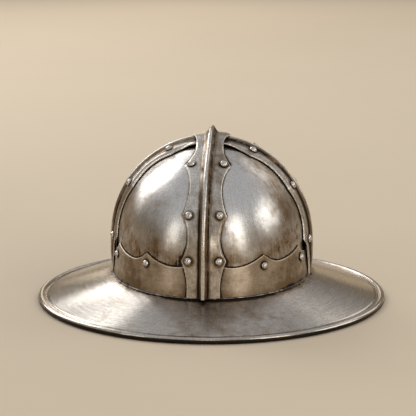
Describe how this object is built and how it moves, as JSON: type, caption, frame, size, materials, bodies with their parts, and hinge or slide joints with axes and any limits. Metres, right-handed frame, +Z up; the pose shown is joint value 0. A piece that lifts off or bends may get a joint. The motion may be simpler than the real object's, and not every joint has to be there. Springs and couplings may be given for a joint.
{
  "type": "kettle hat",
  "caption": "Riveted steel kettle hat: plated bowl under keeled crest and side bands, a scalloped brow band and a wide sloping brim with a rolled edge.",
  "frame": {"origin": "centre of the rim on the surface that the hat rests on, at the base of the bounding box", "axes": "+Z up through the crown, -Y out of the front of the hat, +X to the wearer's left; the longest extent runs along Y"},
  "size_m": [0.3746, 0.38, 0.1885],
  "materials": {
    "plate_steel": "satin, brushed, with brown patina in the hollows",
    "band_steel": "satin, brushed along the band, brown patina beside the keel",
    "brow_steel": "satin, brown patina",
    "brim_steel": "brushed round the brim",
    "rivet_steel": "polished dome with dark grime at its edge"
  },
  "bodies": {
    "root": {"brim": "brim_steel", "brow_band": "brow_steel", "brow_rivet_front_left_1": "rivet_steel", "brow_rivet_front_left_2": "rivet_steel", "brow_rivet_front_right_1": "rivet_steel", "brow_rivet_front_right_2": "rivet_steel", "brow_rivet_rear_left_1": "rivet_steel", "brow_rivet_rear_left_2": "rivet_steel", "brow_rivet_rear_right_1": "rivet_steel", "brow_rivet_rear_right_2": "rivet_steel", "crest_band": "band_steel", "front_rivet_1a": "rivet_steel", "front_rivet_1b": "rivet_steel", "front_rivet_2a": "rivet_steel", "front_rivet_2b": "rivet_steel", "front_rivet_3a": "rivet_steel", "front_rivet_3b": "rivet_steel", "left_rivet_1a": "rivet_steel", "left_rivet_1b": "rivet_steel", "left_rivet_2a": "rivet_steel", "left_rivet_2b": "rivet_steel", "left_rivet_3a": "rivet_steel", "left_rivet_3b": "rivet_steel", "plate_front_left": "plate_steel", "plate_front_right": "plate_steel", "plate_rear_left": "plate_steel", "plate_rear_right": "plate_steel", "rear_rivet_1a": "rivet_steel", "rear_rivet_1b": "rivet_steel", "rear_rivet_2a": "rivet_steel", "rear_rivet_2b": "rivet_steel", "rear_rivet_3a": "rivet_steel", "rear_rivet_3b": "rivet_steel", "right_rivet_1a": "rivet_steel", "right_rivet_1b": "rivet_steel", "right_rivet_2a": "rivet_steel", "right_rivet_2b": "rivet_steel", "right_rivet_3a": "rivet_steel", "right_rivet_3b": "rivet_steel", "side_band_left": "band_steel", "side_band_right": "band_steel"}
  },
  "joints": []
}
